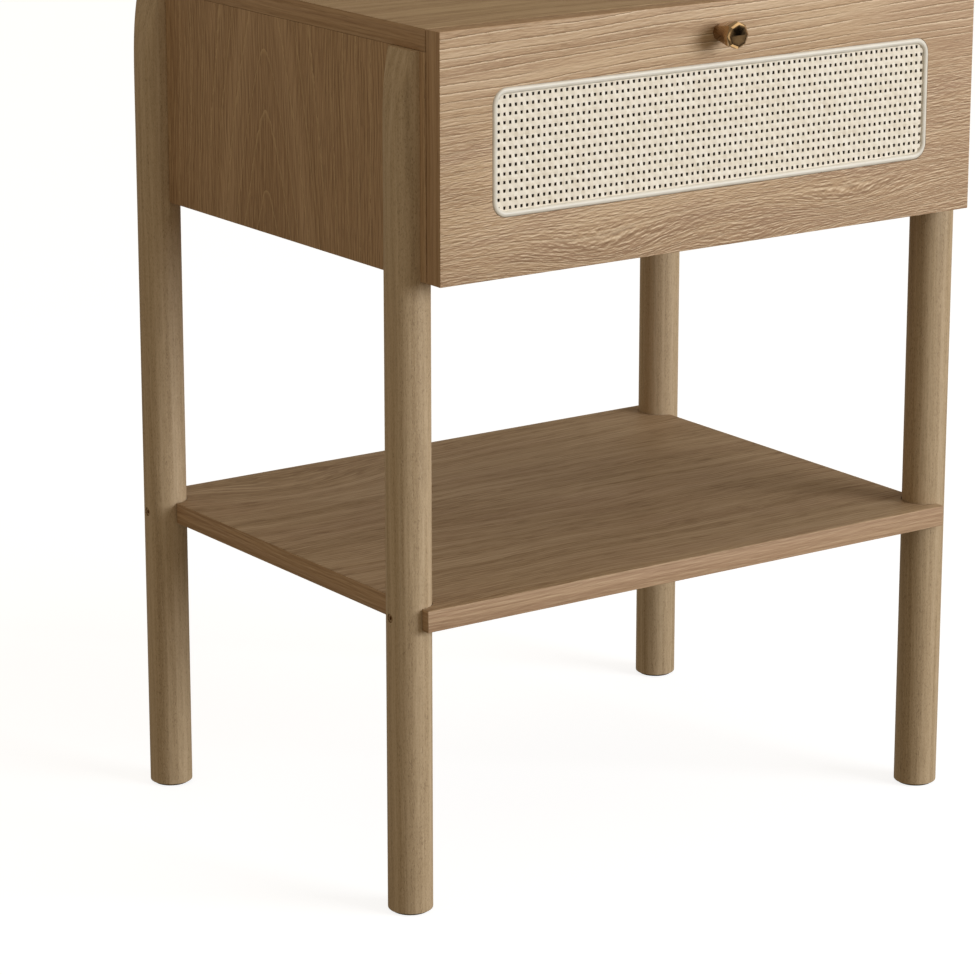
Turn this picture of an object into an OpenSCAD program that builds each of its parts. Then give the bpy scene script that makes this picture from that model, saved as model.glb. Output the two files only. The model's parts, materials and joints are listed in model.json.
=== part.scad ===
// Nightstand with one drawer, an open shelf and four round legs.
// Millimetres, +Z up. The origin is on the floor, under the middle of the whole piece.
// X runs along the width, and the drawer pulls out towards -Y.

/* [Overall] */
// Width over the legs
overall_w = 500; // [420:1:620]
// Height from the floor to the top
overall_h = 627; // [540:1:720]
// Depth of the carcase behind the drawer front
carcase_d = 374; // [310:1:450]
// Height of the carcase
carcase_h = 172; // [165:1:210]

/* [Boards] */
// Thickness of the veneered boards
board_t = 15.6; // [14:0.1:20]
// Thickness of the back panel
back_t = 6; // [4:0.5:8]
// Width of the rebate that the back panel sits in
rebate_w = 7; // [6:0.5:8]
// Clearance round the back panel in its rebate
rebate_clear = 0.3; // [0.1:0.1:0.6]

/* [Legs] */
// Diameter of the round legs
leg_d = 32; // [28:0.5:42]
// Distance from the carcase front or back to a leg's axis
leg_inset = 22.5; // [21:0.5:40]
// Length of the sculpted top of a leg
leg_taper_h = 70; // [50:1:100]
// Thickness of a leg's top, outside the side panel
leg_tip_t = 4.6; // [2:0.1:8]
// Chamfer at the foot
leg_chamfer = 1; // [0.5:0.5:2]
// Diameter of the glide under a leg
glide_d = 26; // [20:1:27]
// Thickness of the glide
glide_t = 1.5; // [1:0.5:4]
// Diameter of the glide's pin
glide_pin_d = 4; // [3:0.5:5]
// Length of the glide's pin
glide_pin_len = 12; // [8:1:20]

/* [Shelf] */
// Height of the shelf's upper face
shelf_z = 225; // [120:1:320]
// Gap between a leg and its notch in the shelf
notch_clear = 0.5; // [0.2:0.1:1.5]
// Diameter of the shelf screw's shank
shelf_screw_d = 4.8; // [4:0.2:6]
// Diameter of the shelf screw's head
shelf_head_d = 6.2; // [6:0.1:8]
// Height of the shelf screw's head
shelf_head_h = 3; // [2:0.5:4]
// Depth of the head below the leg's surface
shelf_head_sink = 0.8; // [0.5:0.1:2]
// Length of the shelf screw inside the shelf
shelf_screw_bite = 30; // [20:1:45]

/* [Drawer front] */
// Thickness of the drawer front
front_t = 16; // [14:0.5:20]
// Gap between the drawer front and the carcase
front_gap = 1; // [0.5:0.1:2]
// Distance from the sides of the drawer front to the cane panel
cane_side_margin = 42.6; // [30:0.1:80]
// Distance from the lower edge of the drawer front to the cane panel
cane_low_margin = 41.7; // [30:0.1:60]
// Distance from the upper edge of the drawer front to the cane panel
cane_top_margin = 41.9; // [36:0.1:60]
// Corner radius of the cane panel
cane_r = 11.5; // [6:0.5:20]
// Depth of the pocket for the cane panel
pocket_depth = 4; // [3:0.5:5]
// Width of the rim round the cane
rim_w = 4.5; // [3:0.5:6]
// Height of the rim above the drawer front
rim_proud = 1; // [0.5:0.1:1.5]
// Thickness of the backing behind the cane
backing_t = 1.2; // [0.8:0.1:1.6]
// Thickness of the woven cane
webbing_t = 2.4; // [1.5:0.1:3]

/* [Knob] */
// Projection of the knob from the drawer front
knob_out = 22; // [18:0.5:30]
// Width of the knob's head across its flats
knob_d = 18; // [16:0.5:24]
// Width of the knob at the drawer front
knob_base_d = 11; // [10:0.5:14]
// Length of the knob's flared neck
knob_neck = 16.5; // [8:0.5:18]
// Chamfer at the front of the knob
knob_chamfer = 2; // [1:0.5:4]
// Distance from the top of the drawer front to the knob's axis
knob_drop = 21; // [16:0.5:26]
// Diameter of the knob screw's shank
knob_screw_d = 4; // [3:0.5:5]
// Depth of the knob screw in the knob
knob_screw_bite = 9; // [6:0.5:12]
// Diameter of the knob screw's head
knob_head_d = 8.6; // [7:0.2:10]
// Height of the knob screw's head
knob_head_h = 2.6; // [2:0.2:3]
// Clearance round a screw or bolt in a plain hole
screw_clear = 0.2; // [0.1:0.1:0.5]

/* [Drawer box] */
// Thickness of the drawer's sides, back and inner front
box_t = 12; // [10:0.5:15]
// Space under the drawer box
box_lift = 11; // [8:0.5:16]
// Space over the drawer box
box_headroom = 15; // [10:0.5:20]
// Thickness of the drawer bottom
bottom_t = 5; // [4:0.5:6]
// Height of the drawer bottom above the box's lower edge
bottom_rise = 10; // [8:0.5:14]
// Depth of the groove that holds the drawer bottom
groove_depth = 5; // [3:0.5:6]
// Clearance over and round the drawer bottom in its groove
groove_clear = 0.2; // [0.1:0.1:0.5]
// Diameter of the screws that hold the drawer front
front_screw_d = 4; // [3:0.5:5]
// Depth of those screws in the drawer front
front_screw_bite = 9; // [6:0.5:10]
// Diameter of the drawer's bumpers
bumper_d = 8; // [6:0.5:12]
// Gap between a bumper and the carcase
bumper_clear = 0.1; // [0.05:0.05:0.3]

/* [Drawer slides] */
// Height of a slide
slide_h = 45; // [42:0.5:46]
// Thickness of a slide, from side panel to drawer
slide_t = 12.7; // [12.5:0.1:14]
// Sheet thickness of the cabinet and drawer members
sheet_t = 1.2; // [1:0.1:1.4]
// Sheet thickness of the middle member
mid_sheet_t = 1; // [0.8:0.1:1.2]
// Diameter of the balls
ball_d = 3.9; // [3.5:0.1:4]
// Clearance between a ball and each race
race_clear = 0.15; // [0.1:0.05:0.3]
// Sheet thickness of the ball cages
cage_t = 0.6; // [0.4:0.1:0.8]
// Number of balls in a row
ball_count = 8; // [4:1:12]
// Distance from the carcase front to the slide
slide_setback = 3; // [2:0.5:10]
// Space between the slide and the back panel
slide_back_room = 15; // [5:1:30]
// Length of slide that stays engaged when the drawer is fully open
slide_reserve = 50; // [40:1:100]
// Height of the slide's middle above the drawer box's lower edge
slide_rise = 64; // [58:1:70]
// Diameter of the slide screws
slide_screw_d = 3.4; // [3:0.2:4]
// Diameter of the slide screws' heads
slide_head_d = 6; // [5:0.5:7]
// Length of the slide screws
slide_screw_len = 10; // [8:0.5:12]

/* [Carcase fittings] */
// Diameter of a cam lock
cam_d = 15; // [12:0.5:15]
// Depth of a cam lock past its bolt's head
cam_cover = 1.5; // [1:0.1:2]
// Distance from a board's end to a cam's centre
cam_reach = 24; // [20:1:34]
// Diameter of a cam bolt
cam_bolt_d = 5; // [4:0.5:6]
// Depth of a cam bolt's thread in the board
cam_bolt_bite = 8; // [6:0.5:10]
// Diameter of a cam bolt's head
cam_head_d = 6.4; // [6:0.2:7]
// Distance from the carcase front or back to the cams
cam_inset = 68; // [60:1:90]
// Distance from the carcase front or back to the wooden dowels
dowel_inset = 100; // [95:1:130]
// Diameter of the carcase dowels
dowel_d = 8; // [6:0.5:8]
// Length of a carcase dowel in the face of a board
dowel_face_len = 9; // [7:0.5:11]
// Length of a carcase dowel in the end of a board
dowel_end_len = 20; // [15:1:25]
// Diameter of the drawer's dowels
box_dowel_d = 6; // [5:0.5:6]
// Length of a drawer dowel in the side
box_dowel_face_len = 8; // [6:0.5:9]
// Length of a drawer dowel in the inner front or back
box_dowel_end_len = 16; // [12:1:20]
// Diameter of the leg bolts
leg_bolt_d = 6; // [5:0.5:8]
// Length of a leg bolt in the leg
leg_bolt_bite = 11; // [8:0.5:12]
// Diameter of a leg bolt's head
leg_bolt_head_d = 12; // [10:0.5:12]
// Height of a leg bolt's head
leg_bolt_head_h = 2.6; // [2:0.2:4]
// Outer diameter of the threaded inserts in the legs
insert_d = 9; // [8:0.5:10]
// Length of the threaded inserts
insert_len = 12.5; // [11:0.5:13]
// Height of the lower leg bolt above the carcase's lower edge
leg_bolt_rise = 29; // [24:1:32]
// Distance between a leg's two bolts
leg_bolt_pitch = 24; // [20:1:24]
// Diameter of the back panel's screws
back_screw_d = 3; // [2.5:0.5:3]
// Diameter of the back panel screws' heads
back_head_d = 5.4; // [5:0.2:5.6]
// Length of the back panel's screws
back_screw_len = 16; // [12:1:20]

/* [Hidden] */
$fn = 64;

// How far a cutting shape runs past the face that it cuts
cut = 0.5;
// Height of a countersunk back screw's head
back_head_h = 1.8;
// Height and depth of the cross recess in a cam or bolt head
cross_w = 1.4;
cross_len = 7;
cross_depth = 1;
// How far below the start of the sculpted leg top its arc is level
taper_lead = 5;
// Distance from a cage's ends to its first ball, and from its ends to the end of its room
cage_end = 8;
cage_margin = 5;
// Distance from a slide's ends to its outer screws
slide_screw_inset = 45;
// Place of the balls and ends of the channels, measured from the side panel
outer_lip_t = 9.2;
outer_lip_h = 1.4;
outer_ball_t = 5;
mid_web_t = 2.5;
mid_edge_t = 11;
inner_ball_t = 7.5;
inner_edge_t = 4.5;
cage_gap = 0.35;
inner_cage_edge_t = 10.5;
outer_cage_edge_t = 8;
// Height of the dowels and front screws above the drawer box's lower edge
box_dowel_zs = [32, 96];
front_screw_zs = [26, 92];
front_screw_inset = 55;
// Distance from the middle to the outer screws along the back's upper and lower edges
back_screw_inset = 70;
// Distance from the ends to the screws along the back's sides
back_side_inset = 32;

// Overall plan
carcase_w = overall_w - leg_d;
total_d = knob_out + front_t + front_gap + carcase_d;
y_front = knob_out - total_d / 2;
y_front_back = y_front + front_t;
y_carcase = y_front_back + front_gap;
y_back = y_carcase + carcase_d;
z_carcase = overall_h - carcase_h;
z_top = overall_h - board_t;
z_floor = z_carcase + board_t;
x_side = carcase_w / 2;
x_in = x_side - board_t;
leg_r = leg_d / 2;
leg_ys = [y_carcase + leg_inset, y_back - leg_inset];
cam_ys = [y_carcase + cam_inset, y_back - cam_inset];
dowel_ys = [y_carcase + dowel_inset, y_back - dowel_inset];
shelf_mid = shelf_z - board_t / 2;
cam_depth = board_t / 2 + cam_head_d / 2 + cam_cover;

// The sculpted leg top follows one large arc
taper_drop = leg_r - leg_tip_t;
taper_run = leg_taper_h + taper_lead;
taper_a = (taper_run * taper_run - taper_lead * taper_lead + taper_drop * taper_drop) / (2 * taper_drop);
taper_r = sqrt(taper_a * taper_a + taper_lead * taper_lead);

// Leg bolts
leg_bolt_zs = [z_carcase + leg_bolt_rise, z_carcase + leg_bolt_rise + leg_bolt_pitch];

// Cane panel
cane_w = carcase_w - 2 * cane_side_margin;
cane_h = carcase_h - cane_low_margin - cane_top_margin;
cane_z = z_carcase + cane_low_margin + cane_h / 2;

// Drawer box and slides
slide_len = carcase_d - back_t - slide_setback - slide_back_room;
travel = slide_len - slide_reserve;
y_slide = y_carcase + slide_setback;
z_box = z_floor + box_lift;
box_h = z_top - box_headroom - z_box;
box_d = slide_len;
x_box = x_in - slide_t;
x_box_in = x_box - box_t;
z_slide = z_box + slide_rise;
z_knob = overall_h - knob_drop;
mid_h = slide_h / 2 - sheet_t - ball_d - 2 * race_clear;
inner_h = mid_h - mid_sheet_t - ball_d - 2 * race_clear;
outer_ball_h = mid_h + race_clear + ball_d / 2;
inner_ball_h = inner_h + race_clear + ball_d / 2;
cage_len = slide_len - travel / 2 - 2 * cage_margin;
y_cage = y_slide + travel / 4 + cage_margin;
ball_pitch = (cage_len - 2 * cage_end) / (ball_count - 1);
slide_screw_ys = [y_slide + slide_screw_inset, y_slide + slide_len / 2, y_slide + slide_len - slide_screw_inset];

// Colours
oak_top = [0.55, 0.45, 0.33];
oak_side = [0.47, 0.37, 0.25];
oak_shelf = [0.50, 0.41, 0.29];
oak_front = [0.72, 0.60, 0.46];
oak_leg = [0.66, 0.55, 0.42];
birch = [0.84, 0.76, 0.62];
cane = [0.91, 0.87, 0.79];
rim_cream = [0.84, 0.81, 0.75];
backing_brown = [0.20, 0.15, 0.11];
bronze = [0.55, 0.38, 0.22];
steel = [0.70, 0.71, 0.73];
zinc = [0.62, 0.63, 0.64];
glide_black = [0.13, 0.12, 0.11];
bumper_clear_grey = [0.80, 0.81, 0.80];

// ---- helpers ----

// Repeats what it holds on the left, which mirrors the right
module both_sides() {
    children();
    mirror([1, 0, 0]) children();
}

// A round bar along X, from x0 for a length towards +X
module bar_x(x0, y, z, d, len) {
    translate([x0, y, z]) rotate([0, 90, 0]) cylinder(d = d, h = len);
}

// A round bar along Y, from y0 for a length towards +Y
module bar_y(x, y0, z, d, len) {
    translate([x, y0, z]) rotate([-90, 0, 0]) cylinder(d = d, h = len);
}

// A round bar along Z, from z0 upwards
module bar_z(x, y, z0, d, len) {
    translate([x, y, z0]) cylinder(d = d, h = len);
}

// The space that the back panel fills, with its clearance
module back_recess() {
    w = 2 * (x_in + rebate_w);
    translate([-w / 2, y_back - back_t, z_floor - rebate_w])
        cube([w, back_t + cut, z_top - z_floor + 2 * rebate_w]);
}

// Places what it holds at each back panel screw
module at_back_screws() {
    for (x = [-x_in + back_screw_inset, 0, x_in - back_screw_inset])
        for (z = [z_floor - rebate_w / 2, z_top + rebate_w / 2])
            translate([x, y_back, z]) children();
    for (x = [-x_in - rebate_w / 2, x_in + rebate_w / 2])
        for (z = [z_floor + back_side_inset, z_top - back_side_inset])
            translate([x, y_back, z]) children();
}

// A countersunk screw with its head's face at the origin, pointing towards -Y
module back_screw() {
    rotate([90, 0, 0]) {
        cylinder(d1 = back_head_d, d2 = back_screw_d, h = back_head_h);
        cylinder(d = back_screw_d, h = back_screw_len);
    }
}

// A cross recess, sunk along -Z from the origin
module cross_recess() {
    for (a = [0, 90])
        rotate([0, 0, a])
            translate([-cross_len / 2, -cross_w / 2, -cross_depth])
                cube([cross_len, cross_w, cross_depth + cut]);
}

// A rounded rectangle, as wide and high as stated
module rounded_plate(w, h, r) {
    for (x = [-w / 2 + r, w / 2 - r])
        for (y = [-h / 2 + r, h / 2 - r])
            translate([x, y]) circle(r = r);
    square([w - 2 * r, h], center = true);
    square([w, h - 2 * r], center = true);
}

// The cane panel's outline less an inset, as a plate from a depth behind the face
module cane_plate(inset, depth, t) {
    translate([0, y_front + depth, cane_z])
        rotate([90, 0, 0])
            linear_extrude(t)
                rounded_plate(cane_w - 2 * inset, cane_h - 2 * inset, cane_r - inset);
}

// ---- legs and shelf ----

// What the sculpted top takes off a leg: everything outside one large arc
module leg_scoop() {
    z0 = z_top - leg_taper_h;
    difference() {
        translate([0, -leg_d, z0]) cube([leg_d, 2 * leg_d, leg_taper_h + cut]);
        translate([leg_r - taper_a, 0, z0 - taper_lead])
            rotate([90, 0, 0])
                cylinder(r = taper_r, h = 5 * leg_d, center = true, $fn = 256);
    }
}

// A leg on its own axis, with the side panel towards -X
module leg_blank() {
    foot = glide_t + leg_chamfer;
    difference() {
        union() {
            translate([0, 0, glide_t])
                cylinder(d1 = leg_d - 2 * leg_chamfer, d2 = leg_d, h = leg_chamfer);
            translate([0, 0, foot]) cylinder(d = leg_d, h = z_top - foot);
        }
        translate([-leg_d, -leg_d, z_carcase]) cube([leg_d, 2 * leg_d, z_top]);
        leg_scoop();
        bar_z(0, 0, 0, glide_pin_d, glide_t + glide_pin_len);
        bar_x(-leg_d, 0, shelf_mid, shelf_screw_d + 2 * screw_clear, 2 * leg_d);
        bar_x(leg_r - shelf_head_sink - shelf_head_h, 0, shelf_mid, shelf_head_d + 2 * screw_clear, leg_r);
        for (z = leg_bolt_zs)
            bar_x(-cut, 0, z, insert_d, insert_len + cut);
    }
}

module right_leg(y) {
    color(oak_leg) translate([x_side, y, 0]) leg_blank();
}

module left_leg(y) {
    mirror([1, 0, 0]) right_leg(y);
}

module front_left_leg() { left_leg(leg_ys[0]); }
module front_right_leg() { right_leg(leg_ys[0]); }
module back_left_leg() { left_leg(leg_ys[1]); }
module back_right_leg() { right_leg(leg_ys[1]); }

module glide(x, y) {
    color(glide_black) {
        bar_z(x, y, 0, glide_d, glide_t);
        bar_z(x, y, 0, glide_pin_d, glide_t + glide_pin_len);
    }
}

module front_left_glide() { glide(-x_side, leg_ys[0]); }
module front_right_glide() { glide(x_side, leg_ys[0]); }
module back_left_glide() { glide(-x_side, leg_ys[1]); }
module back_right_glide() { glide(x_side, leg_ys[1]); }

module lower_shelf() {
    notch_r = leg_r + notch_clear;
    color(oak_shelf)
        difference() {
            translate([-x_side, y_front_back, shelf_z - board_t])
                cube([carcase_w, y_back - y_front_back, board_t]);
            both_sides()
                for (y = leg_ys) {
                    bar_z(x_side, y, shelf_z - board_t - cut, 2 * notch_r, board_t + 2 * cut);
                    bar_x(x_side - notch_r - shelf_screw_bite, y, shelf_mid, shelf_screw_d, shelf_screw_bite + cut);
                }
        }
}

module shelf_screws() {
    tip = x_side - leg_r - notch_clear - shelf_screw_bite;
    seat = x_side + leg_r - shelf_head_sink - shelf_head_h;
    color(bronze)
        both_sides()
            for (y = leg_ys)
                difference() {
                    union() {
                        bar_x(tip, y, shelf_mid, shelf_screw_d, seat - tip);
                        bar_x(seat, y, shelf_mid, shelf_head_d, shelf_head_h);
                    }
                    translate([seat + shelf_head_h, y, shelf_mid])
                        rotate([0, 90, 0])
                            cylinder(d = shelf_head_d / 2, h = 2 * cross_depth, center = true, $fn = 6);
                }
}

// ---- carcase ----

module top_panel() {
    color(oak_top)
        difference() {
            translate([-x_side, y_carcase, z_top]) cube([carcase_w, carcase_d, board_t]);
            back_recess();
            at_back_screws() back_screw();
            both_sides() {
                for (y = cam_ys) bar_z(x_in + board_t / 2, y, z_top - cut, cam_bolt_d, cam_bolt_bite + cut);
                for (y = dowel_ys) bar_z(x_in + board_t / 2, y, z_top - cut, dowel_d, dowel_face_len + cut);
            }
        }
}

module side_panel() {
    mid = x_in + board_t / 2;
    low = z_carcase + board_t / 2;
    color(oak_side)
        difference() {
            translate([x_in, y_carcase, z_carcase]) cube([board_t, carcase_d, z_top - z_carcase]);
            back_recess();
            at_back_screws() back_screw();
            for (y = cam_ys) {
                bar_x(x_in - cut, y, z_top - cam_reach, cam_d, cam_depth + cut);
                bar_z(mid, y, z_top - cam_reach, cam_head_d + 2 * screw_clear, cam_reach + cut);
                bar_x(x_in - cut, y, low, cam_bolt_d, cam_bolt_bite + cut);
            }
            for (y = dowel_ys) {
                bar_z(mid, y, z_top - dowel_end_len, dowel_d, dowel_end_len + cut);
                bar_x(x_in - cut, y, low, dowel_d, dowel_face_len + cut);
            }
            for (y = leg_ys)
                for (z = leg_bolt_zs)
                    bar_x(x_in - cut, y, z, leg_bolt_d + 2 * screw_clear, board_t + 2 * cut);
            for (y = slide_screw_ys)
                bar_x(x_in - cut, y, z_slide, slide_screw_d, slide_screw_len - sheet_t + cut);
        }
}

module right_side_panel() { side_panel(); }
module left_side_panel() { mirror([1, 0, 0]) side_panel(); }

module bottom_panel() {
    low = z_carcase + board_t / 2;
    color(oak_side)
        difference() {
            translate([-x_in, y_carcase, z_carcase]) cube([2 * x_in, carcase_d, board_t]);
            back_recess();
            at_back_screws() back_screw();
            both_sides() {
                for (y = cam_ys) {
                    bar_z(x_in - cam_reach, y, z_carcase - cut, cam_d, cam_depth + cut);
                    bar_x(x_in - cam_reach, y, low, cam_head_d + 2 * screw_clear, cam_reach + cut);
                }
                for (y = dowel_ys) bar_x(x_in - dowel_end_len, y, low, dowel_d, dowel_end_len + cut);
            }
        }
}

module back_panel() {
    w = 2 * (x_in + rebate_w - rebate_clear);
    h = z_top - z_floor + 2 * (rebate_w - rebate_clear);
    color(birch)
        difference() {
            translate([-w / 2, y_back - back_t, z_floor - rebate_w + rebate_clear]) cube([w, back_t, h]);
            at_back_screws() back_screw();
        }
}

module back_panel_screws() {
    color(zinc)
        at_back_screws()
            difference() {
                back_screw();
                rotate([-90, 0, 0])
                    scale(back_head_d / (2 * cross_len)) cross_recess();
            }
}

module leg_bolts() {
    color(zinc)
        both_sides()
            for (y = leg_ys)
                for (z = leg_bolt_zs)
                    difference() {
                        union() {
                            bar_x(x_in, y, z, leg_bolt_d, board_t + leg_bolt_bite);
                            bar_x(x_in - leg_bolt_head_h, y, z, leg_bolt_head_d, leg_bolt_head_h);
                        }
                        translate([x_in - leg_bolt_head_h, y, z])
                            rotate([0, 90, 0])
                                cylinder(d = leg_bolt_d, h = 2 * cross_depth, center = true, $fn = 6);
                    }
}

module leg_inserts() {
    color(steel)
        both_sides()
            for (y = leg_ys)
                for (z = leg_bolt_zs)
                    difference() {
                        bar_x(x_side, y, z, insert_d, insert_len);
                        bar_x(x_side - cut, y, z, leg_bolt_d, insert_len + 2 * cut);
                    }
}

// A cam with its slotted face at the origin, facing +Z, entered by its bolt along +X
module cam_lock() {
    difference() {
        translate([0, 0, -cam_depth]) cylinder(d = cam_d, h = cam_depth);
        bar_x(-cam_head_d / 2, 0, -board_t / 2, cam_head_d + 2 * screw_clear, cam_d);
        cross_recess();
    }
}

module cam_locks() {
    color(zinc)
        both_sides()
            for (y = cam_ys) {
                translate([x_in, y, z_top - cam_reach]) rotate([0, -90, 0]) cam_lock();
                translate([x_in - cam_reach, y, z_carcase]) rotate([180, 0, 0]) cam_lock();
            }
}

// A cam bolt that leaves its board at the origin, towards -Z
module cam_bolt() {
    reach = cam_reach + cam_head_d / 4;
    translate([0, 0, -reach]) cylinder(d = cam_bolt_d, h = reach + cam_bolt_bite);
    translate([0, 0, -reach]) cylinder(d = cam_head_d, h = cam_head_d / 2);
}

module cam_bolts() {
    color(steel)
        both_sides()
            for (y = cam_ys) {
                translate([x_in + board_t / 2, y, z_top]) cam_bolt();
                translate([x_in, y, z_carcase + board_t / 2]) rotate([0, 90, 0]) cam_bolt();
            }
}

module carcase_dowels() {
    len = dowel_end_len + dowel_face_len;
    color(birch)
        both_sides()
            for (y = dowel_ys) {
                bar_z(x_in + board_t / 2, y, z_top - dowel_end_len, dowel_d, len);
                bar_x(x_in - dowel_end_len, y, z_carcase + board_t / 2, dowel_d, len);
            }
}

// ---- drawer slides ----

// A C-shaped section of sheet t, its web's outer face at web_t and its flanges ending at edge_t
module channel(web_t, edge_t, half_h, t) {
    web_in_t = web_t + (edge_t > web_t ? t : -t);
    polygon([
        [web_t, -half_h], [edge_t, -half_h], [edge_t, t - half_h], [web_in_t, t - half_h],
        [web_in_t, half_h - t], [edge_t, half_h - t], [edge_t, half_h], [web_t, half_h]
    ]);
}

// A section runs along Y, with its first axis leading from the right side panel to the drawer
module along_slide(y0, len) {
    translate([x_in, y0 + len, z_slide])
        rotate([90, 0, 0])
            mirror([1, 0, 0])
                linear_extrude(len) children();
}

// Slide screws with countersunk heads: head_t is the head's face, measured from the side panel
module slide_screws(head_t, towards) {
    for (y = slide_screw_ys)
        translate([x_in - head_t, y, z_slide])
            rotate([0, towards * 90, 0]) {
                cylinder(d1 = slide_head_d, d2 = slide_screw_d, h = sheet_t);
                cylinder(d = slide_screw_d, h = slide_screw_len);
            }
}

module cabinet_slide() {
    half_h = slide_h / 2;
    color(steel)
        difference() {
            union() {
                along_slide(y_slide, slide_len) channel(0, outer_lip_t, half_h, sheet_t);
                for (h = [half_h - sheet_t - outer_lip_h, -half_h + sheet_t])
                    along_slide(y_slide, slide_len)
                        translate([outer_lip_t - sheet_t, h]) square([sheet_t, outer_lip_h]);
            }
            slide_screws(sheet_t, 1);
        }
}

module middle_slide() {
    color(steel)
        along_slide(y_slide, slide_len) channel(mid_web_t, mid_edge_t, mid_h, mid_sheet_t);
}

module drawer_slide() {
    color(steel)
        difference() {
            along_slide(y_slide, slide_len) channel(slide_t, inner_edge_t, inner_h, sheet_t);
            slide_screws(slide_t - sheet_t, -1);
        }
}

// A bent strip that carries two rows of balls, at t from the side panel and h from the middle
module ball_cage(web_t, edge_t, ball_t, ball_h) {
    color(zinc)
        difference() {
            along_slide(y_cage, cage_len) channel(web_t, edge_t, ball_h + cage_t / 2, cage_t);
            at_balls(ball_t, ball_h) cylinder(d = ball_d + 2 * race_clear, h = ball_d, center = true);
        }
    color(steel) at_balls(ball_t, ball_h) sphere(d = ball_d);
}

module at_balls(ball_t, ball_h) {
    for (i = [0 : ball_count - 1])
        for (h = [-ball_h, ball_h])
            translate([x_in - ball_t, y_cage + cage_end + i * ball_pitch, z_slide + h]) children();
}

module outer_ball_cage() { ball_cage(sheet_t + cage_gap, outer_cage_edge_t, outer_ball_t, outer_ball_h); }
module inner_ball_cage() {
    ball_cage(mid_web_t + mid_sheet_t + cage_gap / 2, inner_cage_edge_t, inner_ball_t, inner_ball_h);
}

module right_cabinet_slide() { cabinet_slide(); }
module left_cabinet_slide() { mirror([1, 0, 0]) cabinet_slide(); }
module right_middle_slide() { middle_slide(); }
module left_middle_slide() { mirror([1, 0, 0]) middle_slide(); }
module right_drawer_slide() { drawer_slide(); }
module left_drawer_slide() { mirror([1, 0, 0]) drawer_slide(); }
module right_outer_ball_cage() { outer_ball_cage(); }
module left_outer_ball_cage() { mirror([1, 0, 0]) outer_ball_cage(); }
module right_inner_ball_cage() { inner_ball_cage(); }
module left_inner_ball_cage() { mirror([1, 0, 0]) inner_ball_cage(); }

module cabinet_slide_screws() { color(zinc) both_sides() slide_screws(sheet_t, 1); }
module drawer_slide_screws() { color(zinc) both_sides() slide_screws(slide_t - sheet_t, -1); }

// ---- drawer ----

module drawer_front() {
    bite = front_screw_bite;
    color(oak_front)
        difference() {
            translate([-x_side, y_front, z_carcase]) cube([carcase_w, front_t, carcase_h]);
            cane_plate(0, pocket_depth, pocket_depth + cut);
            bar_y(0, y_front - cut, z_knob, knob_screw_d + 2 * screw_clear, front_t + 2 * cut);
            bar_y(0, y_front_back - knob_head_h, z_knob, knob_head_d + 2 * screw_clear, knob_head_h + cut);
            at_front_screws() bar_y(0, -bite, 0, front_screw_d, bite + cut);
        }
}

// Places what it holds where the inner front's screws enter the drawer front
module at_front_screws() {
    for (x = [-x_box_in + front_screw_inset, x_box_in - front_screw_inset])
        for (z = front_screw_zs)
            translate([x, y_front_back, z_box + z]) children();
}

module cane_rim() {
    color(rim_cream)
        difference() {
            cane_plate(0, pocket_depth, pocket_depth + rim_proud);
            cane_plate(rim_w, pocket_depth + cut, pocket_depth + rim_proud + 2 * cut);
        }
}

module cane_backing() {
    color(backing_brown) cane_plate(rim_w, pocket_depth, backing_t);
}

module cane_webbing() {
    color(cane) cane_plate(rim_w, pocket_depth - backing_t, webbing_t);
}

module knob() {
    head = knob_out - knob_neck - knob_chamfer;
    across = 1 / cos(180 / 8);
    color(bronze)
        translate([0, y_front, z_knob])
            rotate([90, 0, 0])
                difference() {
                    union() {
                        cylinder(d1 = knob_base_d * across, d2 = knob_d * across, h = knob_neck, $fn = 8);
                        translate([0, 0, knob_neck]) cylinder(d = knob_d * across, h = head, $fn = 8);
                        translate([0, 0, knob_neck + head])
                            cylinder(d1 = knob_d * across, d2 = (knob_d - 2 * knob_chamfer) * across,
                                h = knob_chamfer, $fn = 8);
                    }
                    translate([0, 0, -cut]) cylinder(d = knob_screw_d, h = knob_screw_bite + cut);
                }
}

module knob_screw() {
    seat = y_front_back - knob_head_h;
    color(zinc)
        difference() {
            union() {
                bar_y(0, y_front - knob_screw_bite, z_knob, knob_screw_d, seat - y_front + knob_screw_bite);
                bar_y(0, seat, z_knob, knob_head_d, knob_head_h);
            }
            translate([0, y_front_back, z_knob]) rotate([-90, 0, 0]) cross_recess();
        }
}

// The slot that the drawer bottom slides into, all round
module bottom_groove() {
    reach = x_box_in + groove_depth;
    translate([-reach, y_front_back + box_t - groove_depth, z_box + bottom_rise])
        cube([2 * reach, box_d - 2 * (box_t - groove_depth), bottom_t + groove_clear]);
}

// Places what it holds at each corner dowel of the box, on the sides' inner face
module at_box_dowels() {
    for (y = [y_front_back + box_t / 2, y_front_back + box_d - box_t / 2])
        for (z = box_dowel_zs)
            translate([x_box_in, y, z_box + z]) children();
}

module box_side() {
    color(birch)
        difference() {
            translate([x_box_in, y_front_back, z_box]) cube([box_t, box_d, box_h]);
            bottom_groove();
            at_box_dowels() bar_x(-cut, 0, 0, box_dowel_d, box_dowel_face_len + cut);
            slide_screws(slide_t - sheet_t, -1);
        }
}

module drawer_right_side() { box_side(); }
module drawer_left_side() { mirror([1, 0, 0]) box_side(); }

module box_end(y) {
    color(birch)
        difference() {
            translate([-x_box_in, y, z_box]) cube([2 * x_box_in, box_t, box_h]);
            bottom_groove();
            both_sides()
                at_box_dowels() bar_x(-box_dowel_end_len, 0, 0, box_dowel_d, box_dowel_end_len + cut);
            at_front_screws() bar_y(0, -cut, 0, front_screw_d, box_t + 2 * cut);
        }
}

module drawer_inner_front() { box_end(y_front_back); }
module drawer_back() { box_end(y_front_back + box_d - box_t); }

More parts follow.
